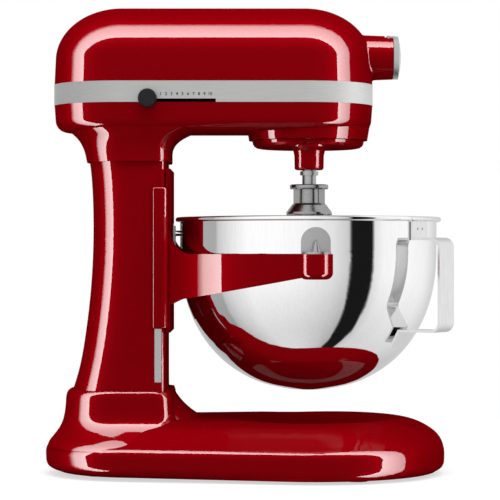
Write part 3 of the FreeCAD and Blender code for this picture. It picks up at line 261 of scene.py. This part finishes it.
def speed_scale():
    """Numbers 1 to 10 over the slot of the speed lever, printed on the band."""
    front_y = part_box("trim_band")[0].y
    first = -76.7 * MM
    last = -32.4 * MM
    whole = bmesh.new()
    for number in range(1, 11):
        mesh = number_mesh(str(number), 2.7 * MM)
        x = first + (last - first) * (number - 1) / 9
        mesh.transform(Matrix.Translation((x, front_y - 0.02 * MM, 344.3 * MM)))
        whole.from_mesh(mesh)
        bpy.data.meshes.remove(mesh)
    mesh = bpy.data.meshes.new("speed_scale")
    whole.to_mesh(mesh)
    whole.free()
    add_piece("speed_scale", mesh, "stand", PRINT)


def spot_welds():
    """Two round weld dimples on the upper flange of the bowl handle."""
    turn = math.radians(HANDLE_ANGLE)
    radius = BOWL_R + HANDLE_T
    whole = bmesh.new()
    for across in (-4 * MM, 4 * MM):
        dimple = bmesh.ops.create_uvsphere(whole, u_segments=20, v_segments=10, radius=1.3 * MM)["verts"]
        bmesh.ops.scale(whole, vec=(0.22, 1, 1), verts=dimple)
        bmesh.ops.translate(whole, vec=(radius, across, 224.5 * MM), verts=dimple)
    bmesh.ops.rotate(whole, cent=(0, 0, 0), matrix=Matrix.Rotation(turn, 3, "Z"), verts=whole.verts)
    bmesh.ops.translate(whole, vec=(BOWL_X, 0, 0), verts=whole.verts)
    mesh = bpy.data.meshes.new("spot_welds")
    whole.to_mesh(mesh)
    whole.free()
    mesh.shade_smooth()
    add_piece("spot_welds", mesh, "bowl_lift", STEEL)


speed_scale()
spot_welds()


# Studio

BACKDROP_RAYS = ("Is Camera Ray", "Is Transmission Ray")


def any_of(tree, rays, names):
    total = rays.outputs[names[0]]
    for name in names[1:]:
        either = tree.nodes.new("ShaderNodeMath")
        either.operation = "MAXIMUM"
        tree.links.new(total, either.inputs[0])
        tree.links.new(rays.outputs[name], either.inputs[1])
        total = either.outputs[0]
    return total


def background(tree, strength):
    node = tree.nodes.new("ShaderNodeBackground")
    node.inputs["Color"].default_value = (1, 1, 1, 1)
    node.inputs["Strength"].default_value = strength
    return node


def studio_world():
    world = bpy.data.worlds.new("studio")
    bpy.context.scene.world = world
    world.use_nodes = True
    tree = world.node_tree
    tree.nodes.clear()
    out = tree.nodes.new("ShaderNodeOutputWorld")
    rays = tree.nodes.new("ShaderNodeLightPath")
    mirrored = tree.nodes.new("ShaderNodeMixShader")
    tree.links.new(rays.outputs["Is Glossy Ray"], mirrored.inputs["Fac"])
    tree.links.new(background(tree, 0.50).outputs["Background"], mirrored.inputs[1])
    tree.links.new(background(tree, 0.01).outputs["Background"], mirrored.inputs[2])
    seen = tree.nodes.new("ShaderNodeMixShader")
    tree.links.new(any_of(tree, rays, BACKDROP_RAYS), seen.inputs["Fac"])
    tree.links.new(mirrored.outputs["Shader"], seen.inputs[1])
    tree.links.new(background(tree, 1.0).outputs["Background"], seen.inputs[2])
    tree.links.new(seen.outputs["Shader"], out.inputs["Surface"])


def disc_mesh(name, radius, corners):
    mesh = bpy.data.meshes.new(name)
    rim = []
    for index in range(corners):
        angle = 2 * math.pi * index / corners
        rim.append((radius * math.cos(angle), radius * math.sin(angle), 0))
    mesh.from_pydata(rim, [], [list(range(corners))])
    return mesh


def studio_floor():
    """White floor that fades into the white room at its edge and keeps the object's shadow."""
    mesh = disc_mesh("floor", 0.9, 96)
    floor = bpy.data.objects.new("floor", mesh)
    bpy.context.scene.collection.objects.link(floor)
    floor.visible_glossy = False
    material, tree, out = empty_material("floor_white")
    matte = tree.nodes.new("ShaderNodeBsdfDiffuse")
    matte.inputs["Color"].default_value = (0.62, 0.62, 0.62, 1)
    glow = tree.nodes.new("ShaderNodeEmission")
    rays = tree.nodes.new("ShaderNodeLightPath")
    level = tree.nodes.new("ShaderNodeMath")
    level.operation = "MULTIPLY"
    level.inputs[1].default_value = 0.62
    tree.links.new(any_of(tree, rays, BACKDROP_RAYS), level.inputs[0])
    tree.links.new(level.outputs[0], glow.inputs["Strength"])
    both = tree.nodes.new("ShaderNodeAddShader")
    tree.links.new(matte.outputs["BSDF"], both.inputs[0])
    tree.links.new(glow.outputs["Emission"], both.inputs[1])
    place = tree.nodes.new("ShaderNodeTexCoord")
    reach = tree.nodes.new("ShaderNodeVectorMath")
    reach.operation = "LENGTH"
    tree.links.new(place.outputs["Object"], reach.inputs[0])
    edge = tree.nodes.new("ShaderNodeMapRange")
    edge.inputs["From Min"].default_value = 0.35
    edge.inputs["From Max"].default_value = 0.85
    tree.links.new(reach.outputs["Value"], edge.inputs["Value"])
    clear = tree.nodes.new("ShaderNodeBsdfTransparent")
    fade = tree.nodes.new("ShaderNodeMixShader")
    tree.links.new(edge.outputs["Result"], fade.inputs["Fac"])
    tree.links.new(both.outputs["Shader"], fade.inputs[1])
    tree.links.new(clear.outputs["BSDF"], fade.inputs[2])
    tree.links.new(fade.outputs["Shader"], out.inputs["Surface"])
    mesh.materials.append(material)


def pieces_with(name, looks):
    """Collection of all pieces that wear one of the materials."""
    group = bpy.data.collections.new(name)
    wanted = {look.name for look in looks}
    for piece in bpy.data.objects:
        if piece.type == "MESH" and wanted & set(piece.data.materials.keys()):
            group.objects.link(piece)
    return group


def mirror_room(name, radius, wall, looks):
    """Pale round wall, darker below, that only some metals mirror and that is clear for other pieces."""
    mesh = bpy.data.meshes.new(name)
    ball = bmesh.new()
    bmesh.ops.create_uvsphere(ball, u_segments=48, v_segments=24, radius=radius)
    ball.to_mesh(mesh)
    ball.free()
    room = bpy.data.objects.new(name, mesh)
    bpy.context.scene.collection.objects.link(room)
    room.visible_camera = False
    room.visible_diffuse = False
    room.visible_shadow = False
    room.visible_transmission = False
    material, tree, out = empty_material(name + "_wall")
    glow = tree.nodes.new("ShaderNodeEmission")
    place = tree.nodes.new("ShaderNodeTexCoord")
    turn = tree.nodes.new("ShaderNodeTexGradient")
    turn.gradient_type = "RADIAL"
    tree.links.new(place.outputs["Object"], turn.inputs["Vector"])
    stops = [(0.25 + degrees / 360, level) for degrees, level in wall]
    tree.links.new(levels(tree, turn.outputs["Fac"], stops), glow.inputs["Color"])
    split = tree.nodes.new("ShaderNodeSeparateXYZ")
    tree.links.new(place.outputs["Object"], split.inputs["Vector"])
    shade = tree.nodes.new("ShaderNodeMapRange")
    shade.inputs["From Min"].default_value = -0.8 * radius
    shade.inputs["From Max"].default_value = -0.1 * radius
    shade.inputs["To Min"].default_value = 0.70
    tree.links.new(split.outputs["Z"], shade.inputs["Value"])
    tree.links.new(shade.outputs["Result"], glow.inputs["Strength"])
    clear = tree.nodes.new("ShaderNodeBsdfTransparent")
    both = tree.nodes.new("ShaderNodeAddShader")
    tree.links.new(glow.outputs["Emission"], both.inputs[0])
    tree.links.new(clear.outputs["BSDF"], both.inputs[1])
    tree.links.new(both.outputs["Shader"], out.inputs["Surface"])
    mesh.materials.append(material)
    room.light_linking.receiver_collection = pieces_with(name + "_metals", looks)


# Level of the mirrored walls by degrees from the camera's side towards the front of the mixer
STRIPED_WALL = [(-103, 0.43), (-87, 0.64), (-75, 0.84), (-54, 1.1), (-30, 1.1), (-7, 1.04), (20, 0.85),
                (35, 0.66), (37, 0.0), (57, 0.0), (59, 0.85), (68, 1.02), (95, 1.06), (122, 0.98),
                (150, 0.7), (180, 0.6), (240, 0.43)]
EVEN_WALL = [(-88, 0.8), (0, 1.0), (50, 1.15), (90, 1.75), (130, 1.2), (180, 0.8), (226, 0.74),
             (268, 0.8)]


def lamp(name, place, target, width, height, watts):
    light = bpy.data.lights.new(name, "AREA")
    light.shape = "RECTANGLE"
    light.size = width
    light.size_y = height
    light.energy = watts
    lamp_object = bpy.data.objects.new(name, light)
    bpy.context.scene.collection.objects.link(lamp_object)
    lamp_object.location = place
    aim = Vector(target) - Vector(place)
    lamp_object.rotation_euler = aim.to_track_quat("-Z", "Y").to_euler()
    return lamp_object


LAMP_TARGET = (0, 0, 0.2)
KEY_WATTS = 19.0
FILL_WATTS = 3.5


def soft_light(name, place, target, width, height, watts):
    """Broad lamp that lights matt surfaces and doesn't show in reflections."""
    lamp(name, place, target, width, height, watts).visible_glossy = False


def softbox_glow(light, near_y, far_y):
    """Softbox that is brighter along its near edge and shows only in the first reflection."""
    light.use_nodes = True
    tree = light.node_tree
    glow = tree.nodes["Emission"]
    place = tree.nodes.new("ShaderNodeNewGeometry")
    split = tree.nodes.new("ShaderNodeSeparateXYZ")
    tree.links.new(place.outputs["Position"], split.inputs["Vector"])
    fall = tree.nodes.new("ShaderNodeMapRange")
    fall.inputs["From Min"].default_value = near_y
    fall.inputs["From Max"].default_value = far_y
    fall.inputs["To Min"].default_value = 1.35
    fall.inputs["To Max"].default_value = 0.60
    tree.links.new(split.outputs["Y"], fall.inputs["Value"])
    rays = tree.nodes.new("ShaderNodeLightPath")
    first = tree.nodes.new("ShaderNodeMath")
    first.operation = "LESS_THAN"
    first.inputs[1].default_value = 2.5
    tree.links.new(rays.outputs["Ray Depth"], first.inputs[0])
    level = tree.nodes.new("ShaderNodeMath")
    level.operation = "MULTIPLY"
    tree.links.new(fall.outputs["Result"], level.inputs[0])
    tree.links.new(first.outputs["Value"], level.inputs[1])
    tree.links.new(level.outputs["Value"], glow.inputs["Strength"])


# Near and far edge of the arch on the left, above and on the right, as shares of its radius
LEFT_END = (-0.390, 0.045)
TOP_END = (-0.650, 0.017)
RIGHT_END = (-0.655, -0.168)
ARCH_LEVEL = 10.6
ARCH_X = 0.03
ARCH_Z = 0.20


def gloss_arch():
    """Arch of softboxes over the object that shows only as a reflection in the enamel."""
    enamelled = pieces_with("enamelled", [RED])
    panels = 96
    radius = 1.5
    first, last = -58.0, 238.0
    step = (last - first) / panels
    length = 2 * radius * math.tan(math.radians(step / 2))
    for index in range(panels):
        angle = math.radians(first + step * (index + 0.5))
        side = math.cos(angle)
        up = math.sin(angle)
        low_end = LEFT_END if side < 0 else RIGHT_END
        lean = side ** 2 if up > 0 else 1.0
        near, far = (radius * (top + lean * (end - top)) for top, end in zip(TOP_END, low_end))
        middle = (ARCH_X + radius * side, (near + far) / 2, ARCH_Z + radius * up)
        watts = ARCH_LEVEL * math.pi * length * (far - near)
        panel = lamp("softbox_%d" % index, middle, (ARCH_X, 0, ARCH_Z), length, far - near, watts)
        panel.rotation_euler = (0, math.radians(90) - angle, 0)
        panel.visible_camera = False
        panel.visible_diffuse = False
        panel.visible_transmission = False
        panel.data.use_shadow = False
        panel.data.cycles.max_bounces = 0
        panel.light_linking.receiver_collection = enamelled
        softbox_glow(panel.data, near, far)


def studio_camera():
    camera = bpy.data.cameras.new("camera")
    camera.lens = 155.8
    camera.sensor_width = 36.0
    camera_object = bpy.data.objects.new("camera", camera)
    bpy.context.scene.collection.objects.link(camera_object)
    camera_object.location = (0.0034, -2.0, 0.2056)
    camera_object.rotation_euler = (math.radians(90), 0, 0)
    bpy.context.scene.camera = camera_object


studio_world()
studio_floor()
mirror_room("striped_room", 2.6, STRIPED_WALL, SMOOTH)
mirror_room("even_room", 2.7, EVEN_WALL, BRUSHED)
gloss_arch()
soft_light("key_above", (0.1, -1.1, 2.0), LAMP_TARGET, 1.6, 1.2, KEY_WATTS)
soft_light("fill_left", (-1.8, -1.0, 0.8), LAMP_TARGET, 0.8, 1.4, FILL_WATTS)
soft_light("fill_right", (1.8, -1.0, 0.8), LAMP_TARGET, 0.8, 1.4, FILL_WATTS)
studio_camera()
bpy.context.scene.view_settings.view_transform = "Standard"
